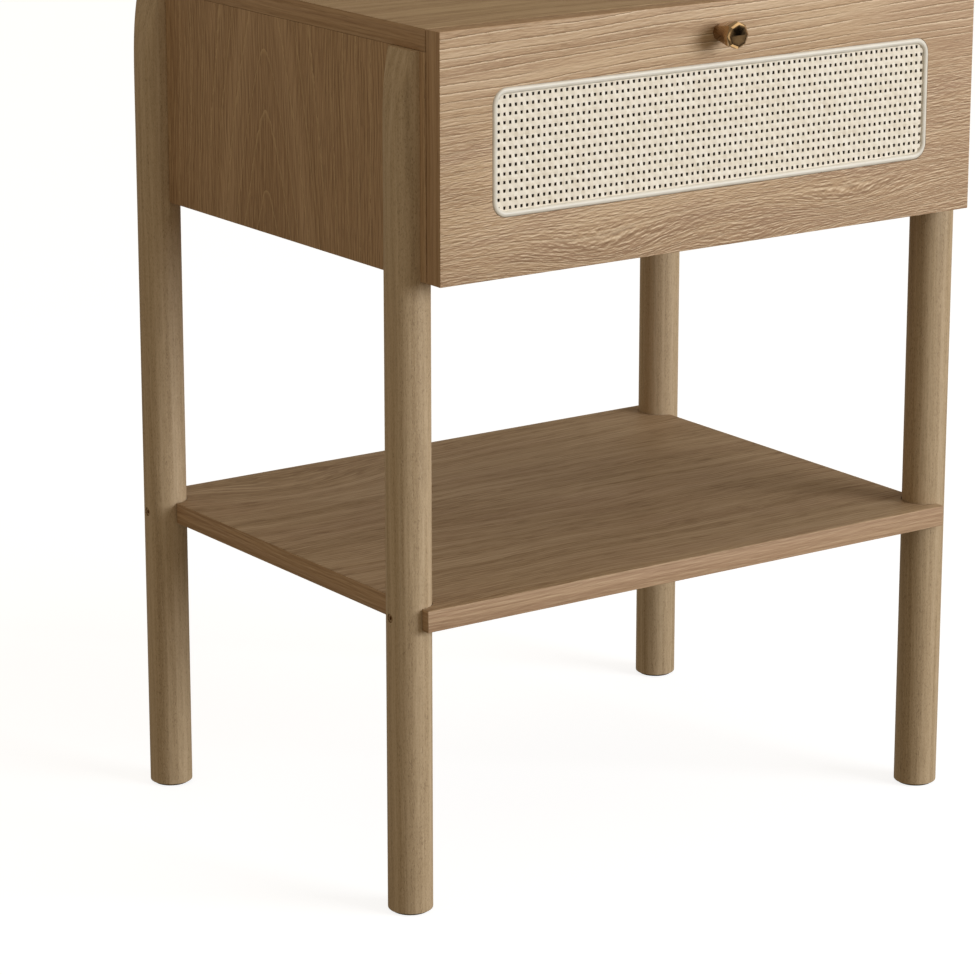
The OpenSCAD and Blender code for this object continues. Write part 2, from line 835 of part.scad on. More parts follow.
module drawer_bottom() {
    reach = x_box_in + groove_depth - groove_clear;
    y0 = y_front_back + box_t - groove_depth + groove_clear;
    color(birch)
        translate([-reach, y0, z_box + bottom_rise])
            cube([2 * reach, box_d - 2 * (box_t - groove_depth + groove_clear), bottom_t]);
}

module drawer_front_screws() {
    color(zinc)
        at_front_screws() {
            bar_y(0, -front_screw_bite, 0, front_screw_d, front_screw_bite + box_t);
            translate([0, box_t, 0])
                difference() {
                    bar_y(0, 0, 0, 2 * front_screw_d, front_screw_d / 2);
                    translate([0, front_screw_d / 2, 0])
                        rotate([-90, 0, 0]) scale(front_screw_d / cross_len) cross_recess();
                }
        }
}

module drawer_dowels() {
    color(birch)
        both_sides()
            at_box_dowels()
                bar_x(-box_dowel_end_len, 0, 0, box_dowel_d, box_dowel_end_len + box_dowel_face_len);
}

module drawer_bumpers() {
    edge = board_t / 2;
    color(bumper_clear_grey)
        both_sides()
            for (z = [z_carcase + edge, overall_h - edge])
                bar_y(x_side - edge, y_front_back, z, bumper_d, front_gap - bumper_clear);
}

front_left_leg();
front_right_leg();
back_left_leg();
back_right_leg();
front_left_glide();
front_right_glide();
back_left_glide();
back_right_glide();
lower_shelf();
shelf_screws();
top_panel();
left_side_panel();
right_side_panel();
bottom_panel();
back_panel();
back_panel_screws();
leg_bolts();
leg_inserts();
cam_locks();
cam_bolts();
carcase_dowels();
left_cabinet_slide();
right_cabinet_slide();
cabinet_slide_screws();
left_middle_slide();
right_middle_slide();
left_outer_ball_cage();
right_outer_ball_cage();
left_inner_ball_cage();
right_inner_ball_cage();
left_drawer_slide();
right_drawer_slide();
drawer_slide_screws();
drawer_front();
cane_rim();
cane_webbing();
cane_backing();
knob();
knob_screw();
drawer_inner_front();
drawer_left_side();
drawer_right_side();
drawer_back();
drawer_bottom();
drawer_front_screws();
drawer_dowels();
drawer_bumpers();
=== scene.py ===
import bpy
import json
import math
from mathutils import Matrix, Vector


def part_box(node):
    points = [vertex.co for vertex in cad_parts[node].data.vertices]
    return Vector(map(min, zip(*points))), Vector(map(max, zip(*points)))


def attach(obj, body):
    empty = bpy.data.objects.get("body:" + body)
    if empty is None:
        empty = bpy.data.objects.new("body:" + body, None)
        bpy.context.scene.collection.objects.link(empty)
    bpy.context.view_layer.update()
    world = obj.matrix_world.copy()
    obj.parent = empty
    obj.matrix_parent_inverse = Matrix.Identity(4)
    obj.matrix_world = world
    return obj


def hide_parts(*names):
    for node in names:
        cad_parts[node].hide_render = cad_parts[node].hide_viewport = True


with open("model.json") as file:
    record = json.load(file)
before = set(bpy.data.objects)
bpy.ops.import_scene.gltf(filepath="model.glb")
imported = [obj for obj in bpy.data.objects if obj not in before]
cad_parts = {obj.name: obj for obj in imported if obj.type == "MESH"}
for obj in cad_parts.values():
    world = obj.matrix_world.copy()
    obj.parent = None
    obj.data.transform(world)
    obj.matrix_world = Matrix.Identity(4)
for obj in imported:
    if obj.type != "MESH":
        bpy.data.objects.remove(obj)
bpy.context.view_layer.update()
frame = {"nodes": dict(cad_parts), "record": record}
cadNodes = frame["nodes"]
print("frame loaded with", len(cadNodes), "nodes")

touch = 0.00002     # two places closer than this are the same place


def pickOnly(piece):
    bpy.ops.object.select_all(action='DESELECT')
    piece.select_set(True)
    bpy.context.view_layer.objects.active = piece


def newest(name):
    piece = bpy.context.object
    piece.name = name
    piece.data.name = name
    return piece


def settle(piece):
    # the place goes into the mesh, as on the nodes of the frame
    pickOnly(piece)
    bpy.ops.object.transform_apply(location=True, rotation=True, scale=True)


def selectEdges(piece, wanted):
    # back in edit mode with only the wanted edges selected
    pickOnly(piece)
    bpy.ops.object.mode_set(mode='EDIT')
    bpy.ops.mesh.select_mode(type='EDGE')
    bpy.ops.mesh.select_all(action='DESELECT')
    bpy.ops.object.mode_set(mode='OBJECT')
    corners = piece.data.vertices
    for edge in piece.data.edges:
        edge.select = wanted(corners[edge.vertices[0]].co, corners[edge.vertices[1]].co)
    bpy.ops.object.mode_set(mode='EDIT')


def selectFaces(piece, wanted):
    pickOnly(piece)
    bpy.ops.object.mode_set(mode='EDIT')
    bpy.ops.mesh.select_mode(type='FACE')
    bpy.ops.mesh.select_all(action='DESELECT')
    bpy.ops.object.mode_set(mode='OBJECT')
    for face in piece.data.polygons:
        face.select = wanted(face.center, face.normal)
    bpy.ops.object.mode_set(mode='EDIT')


def smoothBelow(piece, degrees):
    pickOnly(piece)
    bpy.ops.object.shade_smooth_by_angle(angle=math.radians(degrees))


copyPlan = {"weld": 0.00001, "flat": 0.4}     # corners closer than this join, and faces this level in degrees


def copyOfNode(node, name):
    piece = cadNodes[node].copy()
    piece.data = cadNodes[node].data.copy()
    for key in list(piece.keys()):
        del piece[key]
    piece.parent = None
    piece.name = name
    piece.data.name = name
    bpy.context.scene.collection.objects.link(piece)
    pickOnly(piece)
    bpy.ops.mesh.customdata_custom_splitnormals_clear()
    bpy.ops.object.mode_set(mode='EDIT')
    bpy.ops.mesh.select_all(action='SELECT')
    bpy.ops.mesh.remove_doubles(threshold=copyPlan["weld"])
    bpy.ops.mesh.dissolve_limited(angle_limit=math.radians(copyPlan["flat"]))
    bpy.ops.object.mode_set(mode='OBJECT')
    return piece


easePlan = {"segments": 3, "profile": 0.5, "smooth": 25}


def easeBoxEdges(piece, node, ease):
    # the twelve edges of the board's own box, and what is left of them beside a notch
    low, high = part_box(node)

    def onBoxEdge(a, b):
        planes = 0
        for axis in range(3):
            for side in (low[axis], high[axis]):
                if abs(a[axis] - side) < touch and abs(b[axis] - side) < touch:
                    planes += 1
        return planes >= 2

    selectEdges(piece, onBoxEdge)
    bpy.ops.mesh.bevel(offset=ease, segments=easePlan["segments"], profile=easePlan["profile"], affect='EDGES')
    bpy.ops.object.mode_set(mode='OBJECT')
    smoothBelow(piece, easePlan["smooth"])


def cutWith(piece, cutter):
    pickOnly(piece)
    cut = piece.modifiers.new("cut", 'BOOLEAN')
    cut.object = cutter
    cut.operation = 'DIFFERENCE'
    cut.solver = 'EXACT'
    bpy.ops.object.modifier_apply(modifier="cut")
    bpy.data.objects.remove(cutter)


def newFinish(name):
    finish = bpy.data.materials.new(name)
    finish.use_nodes = True
    tree = finish.node_tree
    shader = tree.nodes["Principled BSDF"]
    return finish, tree, shader


def feed(tree, socket, value):
    if isinstance(value, bpy.types.NodeSocket):
        tree.links.new(value, socket)
    elif value is not None:
        socket.default_value = value


def calc(tree, operation, first, second=None, third=None, clamp=False):
    node = tree.nodes.new("ShaderNodeMath")
    node.operation = operation
    node.use_clamp = clamp
    for socket, value in zip(node.inputs, (first, second, third)):
        feed(tree, socket, value)
    return node.outputs[0]


def place(tree, u, v, w=0.0):
    node = tree.nodes.new("ShaderNodeCombineXYZ")
    for socket, value in zip(node.inputs, (u, v, w)):
        feed(tree, socket, value)
    return node.outputs[0]


def stretched(tree, axes, scales):
    return place(tree, *[calc(tree, 'MULTIPLY', axis, scale) for axis, scale in zip(axes, scales)])


def noise(tree, spot, detail=2.0, rough=0.5):
    node = tree.nodes.new("ShaderNodeTexNoise")
    feed(tree, node.inputs["Vector"], spot)
    node.inputs["Scale"].default_value = 1.0
    node.inputs["Detail"].default_value = detail
    node.inputs["Roughness"].default_value = rough
    return node.outputs["Fac"]


def ramp(tree, amount, stops):
    node = tree.nodes.new("ShaderNodeValToRGB")
    feed(tree, node.inputs[0], amount)
    band = node.color_ramp
    while len(band.elements) < len(stops):
        band.elements.new(0.5)
    for element, (spot, colour) in zip(band.elements, stops):
        element.position = spot
        element.color = (*colour, 1.0) if len(colour) == 3 else colour
    return node.outputs[0]


def level(tree, amount, low, high, outLow=0.0, outHigh=1.0):
    node = tree.nodes.new("ShaderNodeMapRange")
    node.interpolation_type = 'SMOOTHSTEP'
    feed(tree, node.inputs[0], amount)
    for socket, value in zip(node.inputs[1:5], (low, high, outLow, outHigh)):
        socket.default_value = value
    return node.outputs[0]


def tint(tree, amount, first, second, way='MIX'):
    node = tree.nodes.new("ShaderNodeMix")
    node.data_type = 'RGBA'
    node.blend_type = way
    feed(tree, node.inputs[0], amount)
    for socket, value in ((node.inputs[6], first), (node.inputs[7], second)):
        feed(tree, socket, (*value, 1.0) if isinstance(value, tuple) and len(value) == 3 else value)
    return node.outputs[2]


def relief(tree, shader, height, depth):
    node = tree.nodes.new("ShaderNodeBump")
    node.inputs["Strength"].default_value = 1.0
    node.inputs["Distance"].default_value = depth
    feed(tree, node.inputs["Height"], height)
    tree.links.new(node.outputs[0], shader.inputs["Normal"])


def roughAs(tree, shader, amount, outLow, outHigh):
    # roughness swings between two values with a noise, which lies mostly between 0.3 and 0.7
    feed(tree, shader.inputs["Roughness"], level(tree, amount, 0.3, 0.7, outLow, outHigh))


def axesOf(tree, grain, across, centre=(0.0, 0.0, 0.0)):
    # u runs along the grain, v across it on the face, and w into the board
    spot = tree.nodes.new("ShaderNodeTexCoord")
    move = tree.nodes.new("ShaderNodeMapping")
    move.inputs["Location"].default_value = [-value for value in centre]
    split = tree.nodes.new("ShaderNodeSeparateXYZ")
    tree.links.new(spot.outputs["Object"], move.inputs["Vector"])
    tree.links.new(move.outputs[0], split.inputs[0])
    into = "XYZ".replace(grain, "").replace(across, "")
    return split.outputs[grain], split.outputs[across], split.outputs[into]


oakBasis = {
    "grain": "X", "across": "Z", "centre": (0.0, 0.0, 0.0),
    "slope": 0.0,                                   # how far the grain climbs along the board
    "wander": 0.006, "wanderLong": 4.0, "wanderAcross": 12.0,
    "knots": [],                                    # along, across, half length, half width, lift
    "knotBands": 110.0, "knotDark": 0.0,            # dark bands to the metre round a knot
    "arch": None,                                   # roundness, climb, reach
    "deep": 0.25,                                   # how fast the figure changes into the board
    "ringAcross": 90.0, "ringLong": 1.6,            # bands of early and late wood
    "linesPerMetre": 180.0, "lineAcross": 50.0, "lineLong": 4.0, "lineWander": 1.2, "lineBreak": 18.0,
    # linePaintedGleam is how strong the painted highlight below each growth line is
    "lineWidth": 0.16, "lineDark": 0.4, "linePaintedGleam": 0.0, "lineFrom": 0.34,
    "poreAcross": 900.0, "poreLong": 60.0, "poreAmount": 0.4, "poreFrom": 0.58,
    "fleckAcross": 700.0, "fleckLong": 60.0, "fleck": 0.3,
    # the ripple amount is how much painted highlight and painted shade the raised and sunk fibres get
    "rippleAcross": 500.0, "rippleLong": 35.0, "paintedRipple": 0.3, "rippleShift": 0.0008,
    "calm": None,                                   # between these levels the painted ripple highlight and shade and the patches die down
    "drift": [],                                    # direction, start, stop, how much, towards which colour
    "dark": (0.33, 0.195, 0.098), "middle": (0.4, 0.245, 0.13), "light": (0.47, 0.3, 0.168),
    "patch": (0.3, 0.17, 0.1), "patchAmount": 0.3, "patchLong": 5.0, "patchAcross": 20.0,
    # gleam is the colour of the painted highlights; line is the colour of dark grain lines, pores and knot bands, and
    # also of painted shade
    "lineAndShade": (0.2, 0.11, 0.05), "paintedGleam": (0.72, 0.55, 0.37),
    "relief": 0.00012, "rough": 0.55, "polish": 0.3,
}

# noise levels between which each part of the figure comes in
oakLevels = {
    "darkRing": 0.36, "middleRing": 0.5, "lightRing": 0.64,
    "patchFrom": 0.42, "patchTo": 0.66,
    "band": (-0.2, 0.9),
    "lightFleck": (0.45, 0.75), "darkFleck": (0.55, 0.25),
    "poreStep": 0.08, "poreInRing": (0.62, 0.42, 0.15, 1.0),
    "loudAbove": 0.35, "quietBelow": 0.45,
    # rippleGain is the gain of the ripple's painted highlight and painted shade
    "rippleGain": 5.0, "raggedLong": 170.0, "raggedAcross": 420.0, "ragged": 0.2,
    "breakAcross": 0.7, "breakStep": 0.2,
    "roughSwing": 0.06, "fleckHeight": 0.35, "poreDepth": 0.5, "lineDepth": 0.9,
}


def oak(name, changes):
    look = dict(oakBasis)
    look.update(changes)
    levels = oakLevels
    finish, tree, shader = newFinish(name)
    u, v, w = axesOf(tree, look["grain"], look["across"], look["centre"])

    # how high a spot stands in the tree's growth, which the bands and lines follow
    wandering = (look["wanderLong"], look["wanderAcross"], look["wanderAcross"])
    slow = noise(tree, stretched(tree, (u, v, w), wandering), 2.0, 0.45)
    swing = calc(tree, 'MULTIPLY', calc(tree, 'SUBTRACT', slow, 0.5), look["wander"] * 4)
    height = calc(tree, 'ADD', v, swing)
    height = calc(tree, 'SUBTRACT', height, calc(tree, 'MULTIPLY', u, look["slope"]))
    near = 0.0
    for along, across, halfLength, halfWidth, lift in look["knots"]:
        du = calc(tree, 'MULTIPLY', calc(tree, 'SUBTRACT', u, along), 1.0 / halfLength)
        dv = calc(tree, 'MULTIPLY', calc(tree, 'SUBTRACT', v, across), 1.0 / halfWidth)
        spread = calc(tree, 'MULTIPLY_ADD', du, du, calc(tree, 'MULTIPLY', dv, dv))
        bulge = calc(tree, 'EXPONENT', calc(tree, 'MULTIPLY', spread, -1.0))
        height = calc(tree, 'MULTIPLY_ADD', bulge, lift, height)
        near = calc(tree, 'ADD', near, bulge)
    fibre = height
    if look["arch"]:
        roundness, climb, reach = look["arch"]
        squared = calc(tree, 'MULTIPLY_ADD', height, height, roundness * roundness)
        fade = calc(tree, 'EXPONENT', calc(tree, 'MULTIPLY', squared, -1.0 / (reach * reach)))
        height = calc(tree, 'MULTIPLY_ADD', calc(tree, 'MULTIPLY', u, climb), fade,
                      calc(tree, 'SQRT', squared))

    def grainNoise(long, across, detail, rough, shift=0.0, along=height):
        climbed = calc(tree, 'ADD', along, shift) if shift else along
        scales = (long, across, across * look["deep"])
        return noise(tree, stretched(tree, (u, climbed, w), scales), detail, rough)

    ring = grainNoise(look["ringLong"], look["ringAcross"], 5.0, 0.62)
    colour = ramp(tree, ring, [(levels[tone + "Ring"], look[tone]) for tone in ("dark", "middle", "light")])
    loud = level(tree, v, *look["calm"], 1.0, levels["loudAbove"]) if look["calm"] else 1.0
    patch = level(tree, grainNoise(look["patchLong"], look["patchAcross"], 3.0, 0.55),
                  levels["patchFrom"], levels["patchTo"])
    patch = calc(tree, 'MULTIPLY', patch, loud)
    colour = tint(tree, calc(tree, 'MULTIPLY', patch, look["patchAmount"]), colour, look["patch"])
    if look["knotDark"]:
        swell = calc(tree, 'SINE', calc(tree, 'MULTIPLY', height, look["knotBands"] * 2 * math.pi))
        band = calc(tree, 'MULTIPLY', level(tree, swell, *levels["band"]), near, clamp=True)
        colour = tint(tree, calc(tree, 'MULTIPLY', band, look["knotDark"]), colour, look["lineAndShade"])
    for direction, start, stop, amount, towards in look["drift"]:
        spot = u if direction == "along" else v
        colour = tint(tree, level(tree, spot, start, stop, 0.0, amount), colour, look[towards])

    fleck = grainNoise(look["fleckLong"], look["fleckAcross"], 3.0, 0.6, 0.0, fibre)
    colour = tint(tree, level(tree, fleck, *levels["lightFleck"], 0.0, look["fleck"]), colour, look["light"])
    colour = tint(tree, level(tree, fleck, *levels["darkFleck"], 0.0, look["fleck"]), colour, look["dark"])

    # painted highlight and painted shade of raised and sunk fibres: a painted highlight on one side and painted shade
    # on the other
    crest = grainNoise(look["rippleLong"], look["rippleAcross"], 3.0, 0.55, 0.0, fibre)
    trough = grainNoise(look["rippleLong"], look["rippleAcross"], 3.0, 0.55, look["rippleShift"], fibre)
    turned = calc(tree, 'MULTIPLY', calc(tree, 'SUBTRACT', trough, crest),
                  calc(tree, 'MULTIPLY', look["paintedRipple"], loud))
    for gain, tone in ((levels["rippleGain"], "paintedGleam"), (-levels["rippleGain"], "lineAndShade")):
        colour = tint(tree, calc(tree, 'MULTIPLY', turned, gain, clamp=True), colour, look[tone])

    pores = grainNoise(look["poreLong"], look["poreAcross"], 2.0, 0.5, 0.0, fibre)
    pore = level(tree, pores, look["poreFrom"], look["poreFrom"] + levels["poreStep"])
    pore = calc(tree, 'MULTIPLY', pore, level(tree, ring, *levels["poreInRing"]))
    colour = tint(tree, calc(tree, 'MULTIPLY', pore, look["poreAmount"]), colour, look["lineAndShade"])

    # growth lines, each dark above, partly dark grain and partly painted shade, with a painted highlight below
    spacing = calc(tree, 'MULTIPLY', grainNoise(look["lineLong"], look["lineAcross"], 2.0, 0.5),
                   look["lineWander"])
    ragged = calc(tree, 'MULTIPLY', grainNoise(levels["raggedLong"], levels["raggedAcross"], 2.0, 0.5),
                  levels["ragged"])
    phase = calc(tree, 'MULTIPLY_ADD', height, look["linesPerMetre"], calc(tree, 'ADD', spacing, ragged))
    saw = calc(tree, 'FRACT', phase)
    quiet = level(tree, v, *look["calm"], levels["quietBelow"], 1.0) if look["calm"] else 1.0
    broken = grainNoise(look["lineBreak"], look["linesPerMetre"] * levels["breakAcross"], 2.0, 0.5)
    strength = level(tree, broken, look["lineFrom"], look["lineFrom"] + levels["breakStep"])
    strength = calc(tree, 'MULTIPLY', strength, quiet)
    lineAndShade = calc(tree, 'MULTIPLY', level(tree, saw, 0.0, look["lineWidth"], 1.0, 0.0), strength)
    if look["linePaintedGleam"]:
        under = calc(tree, 'MULTIPLY', level(tree, saw, 1.0 - look["lineWidth"], 1.0), strength)
        colour = tint(tree, calc(tree, 'MULTIPLY', under, look["linePaintedGleam"]), colour, look["paintedGleam"])
    colour = tint(tree, calc(tree, 'MULTIPLY', lineAndShade, look["lineDark"]), colour, look["lineAndShade"])
    tree.links.new(colour, shader.inputs["Base Color"])

    roughAs(tree, shader, ring, look["rough"] + levels["roughSwing"], look["rough"] - levels["roughSwing"])
    depth = calc(tree, 'MULTIPLY', fleck, levels["fleckHeight"])
    depth = calc(tree, 'SUBTRACT', depth, calc(tree, 'MULTIPLY', pore, levels["poreDepth"]))
    depth = calc(tree, 'SUBTRACT', depth, calc(tree, 'MULTIPLY', lineAndShade, levels["lineDepth"]))
    relief(tree, shader, depth, look["relief"])
    shader.inputs["Specular IOR Level"].default_value = look["polish"]
    return finish


finishes = {}
finishes["front"] = oak("oakFront", {
    "grain": "X", "across": "Z", "centre": (0.0, -0.1845, 0.541),
    "slope": 0.035, "wander": 0.0025, "wanderLong": 5.0, "wanderAcross": 14.0,
    "knots": [(-0.09, -0.08, 0.07, 0.018, 0.014), (0.03, -0.09, 0.05, 0.014, 0.009),
              (0.125, -0.066, 0.06, 0.012, 0.01)],
    "ringAcross": 120.0, "ringLong": 3.0,
    # linePaintedGleam and gleam here are a strong painted highlight below each growth line
    "linesPerMetre": 175.0, "lineWidth": 0.2, "lineDark": 0.75, "linePaintedGleam": 0.95, "lineBreak": 12.0,
    "lineFrom": 0.3,
    "poreAcross": 1100.0, "poreLong": 80.0, "poreAmount": 0.25,
    "fleckAcross": 900.0, "fleckLong": 70.0, "fleck": 0.3,
    "knotBands": 150.0, "knotDark": 0.6,
    # ripple here is a strong painted highlight and painted shade on the fibres
    "rippleAcross": 850.0, "rippleLong": 110.0, "rippleShift": 0.0005, "paintedRipple": 0.9,
    "calm": (0.0, 0.045),
    "drift": [("along", 0.1, 0.24, 0.5, "patch"), ("across", -0.03, -0.085, 0.4, "patch")],
    "dark": (0.42, 0.265, 0.148), "middle": (0.5, 0.33, 0.192), "light": (0.57, 0.4, 0.245),
    "patch": (0.37, 0.225, 0.138), "patchAmount": 0.85, "patchLong": 8.0, "patchAcross": 55.0,
    "paintedGleam": (0.8, 0.62, 0.43), "lineAndShade": (0.24, 0.14, 0.075),
    "relief": 0.00025, "rough": 0.55})
finishes["frontEdge"] = oak("oakFrontEdge", {
    "grain": "Z", "across": "Y", "centre": (0.0, -0.1765, 0.541),
    "wander": 0.001, "ringAcross": 420.0, "ringLong": 2.0, "linesPerMetre": 300.0,
    "lineDark": 0.25, "fleck": 0.25, "paintedRipple": 0.1, "patchAcross": 200.0,
    "relief": 0.00008})
finishes["side"] = oak("oakSide", {
    "grain": "Z", "across": "Y", "centre": (0.0, 0.033, 0.541),
    "wander": 0.0035, "wanderLong": 7.0, "wanderAcross": 14.0,
    "arch": (0.008, 0.3, 0.075),
    "ringAcross": 45.0, "ringLong": 1.0, "linesPerMetre": 63.0, "lineWander": 0.8, "lineLong": 3.0,
    # linePaintedGleam and gleam here paint a highlight below each growth line
    "lineWidth": 0.11, "lineDark": 0.05, "linePaintedGleam": 0.8, "paintedGleam": (0.52, 0.35, 0.19), "lineBreak": 4.0,
    "lineFrom": 0.2,
    "drift": [("across", -0.07, -0.12, 0.4, "light"), ("across", -0.162, -0.172, 0.8, "light")],
    "poreAcross": 900.0, "poreLong": 70.0, "poreAmount": 0.4, "poreFrom": 0.55,
    "fleckAcross": 600.0, "fleckLong": 22.0, "fleck": 0.9, "paintedRipple": 0.6,
    "rippleAcross": 500.0, "rippleLong": 35.0,
    "patch": (0.29, 0.16, 0.075), "patchAmount": 0.45, "patchLong": 2.0, "patchAcross": 26.0})
finishes["top"] = oak("oakTop", {
    "grain": "X", "across": "Y", "centre": (0.0, 0.02, 0.62),
    "wander": 0.006, "ringAcross": 90.0, "ringLong": 2.0, "linesPerMetre": 190.0, "lineDark": 0.4,
    "fleckAcross": 500.0, "fleckLong": 30.0, "fleck": 0.5, "poreAmount": 0.5, "poreFrom": 0.55,
    "knots": [(0.04, 0.0, 0.2, 0.07, 0.03)],
    "dark": (0.31, 0.2, 0.102), "middle": (0.375, 0.25, 0.134), "light": (0.44, 0.305, 0.17)})
finishes["topEdge"] = oak("oakTopEdge", {
    "grain": "Y", "across": "Z", "centre": (0.0, 0.02, 0.619),
    "wander": 0.0008, "ringAcross": 420.0, "ringLong": 2.5, "linesPerMetre": 330.0,
    "lineDark": 0.3, "fleck": 0.3, "paintedRipple": 0.15, "patchAcross": 200.0, "relief": 0.00008})
finishes["shelf"] = oak("oakShelf", {
    "grain": "X", "across": "Y", "centre": (0.0, 0.02, 0.217),
    "wander": 0.007, "wanderLong": 5.0, "wanderAcross": 9.0,
    "ringAcross": 110.0, "ringLong": 3.0, "linesPerMetre": 240.0, "lineDark": 0.5, "lineBreak": 28.0,
    "lineWidth": 0.22, "poreAcross": 600.0, "poreLong": 50.0, "poreAmount": 0.6, "poreFrom": 0.54,
    "fleckAcross": 500.0, "fleckLong": 30.0, "fleck": 0.6, "paintedRipple": 0.3,
    "knots": [(-0.14, 0.13, 0.11, 0.04, 0.03)],
    "dark": (0.31, 0.2, 0.106), "middle": (0.38, 0.252, 0.142), "light": (0.45, 0.31, 0.185)})
finishes["shelfEdge"] = oak("oakShelfEdge", {
    "grain": "X", "across": "Z", "centre": (0.0, 0.02, 0.2172),
    "wander": 0.0012, "ringAcross": 240.0, "ringLong": 2.0, "linesPerMetre": 260.0, "lineDark": 0.3,
    "fleck": 0.3, "poreAmount": 0.2, "paintedRipple": 0.25, "patchAcross": 120.0,
    "dark": (0.36, 0.222, 0.132), "middle": (0.43, 0.275, 0.166), "light": (0.5, 0.335, 0.21),
    "patch": (0.34, 0.19, 0.115), "relief": 0.00008})
finishes["shelfEnd"] = oak("oakShelfEnd", {
    "grain": "Y", "across": "Z", "centre": (0.0, 0.02, 0.2172),
    "wander": 0.0012, "ringAcross": 240.0, "ringLong": 2.0, "linesPerMetre": 260.0, "lineDark": 0.3,
    "fleck": 0.3, "poreAmount": 0.2, "paintedRipple": 0.25, "patchAcross": 120.0, "relief": 0.00008})


def legOak(name, x, y, shift):
    # each leg is turned from its own stick, so its rings have their own centre
    return oak(name, {
        "grain": "Z", "across": "Y", "centre": (x + shift, y - 0.03, 0.3 + shift * 7), "deep": 1.0,
        "slope": 0.01, "wander": 0.0015, "wanderLong": 5.0, "wanderAcross": 25.0,
        "ringAcross": 230.0, "ringLong": 2.0, "linesPerMetre": 110.0, "lineDark": 0.15, "lineBreak": 7.0,
        "poreAcross": 1300.0, "poreLong": 420.0, "poreAmount": 0.5, "poreFrom": 0.57,
        "fleckAcross": 1500.0, "fleckLong": 600.0, "fleck": 0.6, "paintedRipple": 0.12,
        "rippleAcross": 600.0, "rippleLong": 60.0, "patchAmount": 0.15, "patchAcross": 90.0, "patchLong": 4.0,
        "dark": (0.39, 0.275, 0.16), "middle": (0.465, 0.338, 0.207), "light": (0.535, 0.402, 0.26),
        "patch": (0.34, 0.235, 0.136), "lineAndShade": (0.2, 0.13, 0.07), "relief": 0.0001, "rough": 0.55})


def plywood(name, grain, across, changes):
    look = {"pale": (0.66, 0.53, 0.36), "deep": (0.5, 0.36, 0.21), "glue": (0.36, 0.23, 0.12),
            "fibre": (0.34, 0.22, 0.12), "layer": 0.0012, "glueAmount": 0.45, "fibreAmount": 0.35,
            "figureScale": (5.0, 60.0, 60.0), "fibreScale": (40.0, 900.0, 900.0), "relief": 0.00008}
    look.update(changes)
    finish, tree, shader = newFinish(name)
    u, v, w = axesOf(tree, grain, across)
    figure = noise(tree, stretched(tree, (u, v, w), look["figureScale"]), 4.0, 0.55)
    fibre = noise(tree, stretched(tree, (u, v, w), look["fibreScale"]), 3.0, 0.6)
    colour = ramp(tree, figure, [(0.35, look["deep"]), (0.62, look["pale"])])
    layer = calc(tree, 'FRACT', calc(tree, 'MULTIPLY', w, 0.5 / look["layer"]))
    glueLine = level(tree, calc(tree, 'ABSOLUTE', calc(tree, 'SUBTRACT', layer, 0.5)), 0.2, 0.3)
    colour = tint(tree, calc(tree, 'MULTIPLY', glueLine, look["glueAmount"]), colour, look["glue"])
    colour = tint(tree, level(tree, fibre, 0.55, 0.7, 0.0, look["fibreAmount"]), colour, look["fibre"])
    tree.links.new(colour, shader.inputs["Base Color"])
    roughAs(tree, shader, fibre, 0.6, 0.48)
    relief(tree, shader, fibre, look["relief"])
    return finish


canePaint = {
    "shaded": (0.76, 0.67, 0.535), "middle": (0.84, 0.755, 0.63), "bleached": (0.89, 0.82, 0.71),
    "fibre": (0.55, 0.45, 0.32), "fibreAmount": 0.4,
    "fibreScale": (60.0, 2600.0, 2600.0), "patchScale": (45.0, 200.0), "relief": 0.00006,
}


def caneFinish(name, grain, across):
    finish, tree, shader = newFinish(name)
    u, v, w = axesOf(tree, grain, across)
    fibre = noise(tree, stretched(tree, (u, v, w), canePaint["fibreScale"]), 3.0, 0.6)
    patch = noise(tree, stretched(tree, (u, v), canePaint["patchScale"]), 2.0, 0.5)
    tones = [(0.3, canePaint["shaded"]), (0.5, canePaint["middle"]), (0.72, canePaint["bleached"])]
    streak = level(tree, fibre, 0.56, 0.74, 0.0, canePaint["fibreAmount"])
    colour = tint(tree, streak, ramp(tree, patch, tones), canePaint["fibre"])
    tree.links.new(colour, shader.inputs["Base Color"])
    roughAs(tree, shader, fibre, 0.42, 0.58)
    relief(tree, shader, fibre, canePaint["relief"])
    return finish


rimPaint = {"dull": (0.7, 0.65, 0.565), "cream": (0.75, 0.7, 0.615), "cloud": 60.0, "grit": 1500.0,
            "relief": 0.00003}


def rimFinish():
    finish, tree, shader = newFinish("rimCream")
    u, v, w = axesOf(tree, "X", "Z")
    cloud = noise(tree, stretched(tree, (u, v, w), (rimPaint["cloud"],) * 3), 3.0, 0.5)
    grit = noise(tree, stretched(tree, (u, v, w), (rimPaint["grit"],) * 3), 2.0, 0.5)
    tree.links.new(ramp(tree, cloud, [(0.35, rimPaint["dull"]), (0.65, rimPaint["cream"])]),
                   shader.inputs["Base Color"])
    roughAs(tree, shader, cloud, 0.36, 0.46)
    relief(tree, shader, grit, rimPaint["relief"])
    return finish


# the backing cloth behind the cane is a real part, made near black so that it also paints the shade seen through the
# cane's holes
clothAndShadePaint = {"dark": (0.03, 0.02, 0.013), "light": (0.06, 0.042, 0.028), "threads": 9000.0, "rough": 0.9,
              "relief": 0.00005}


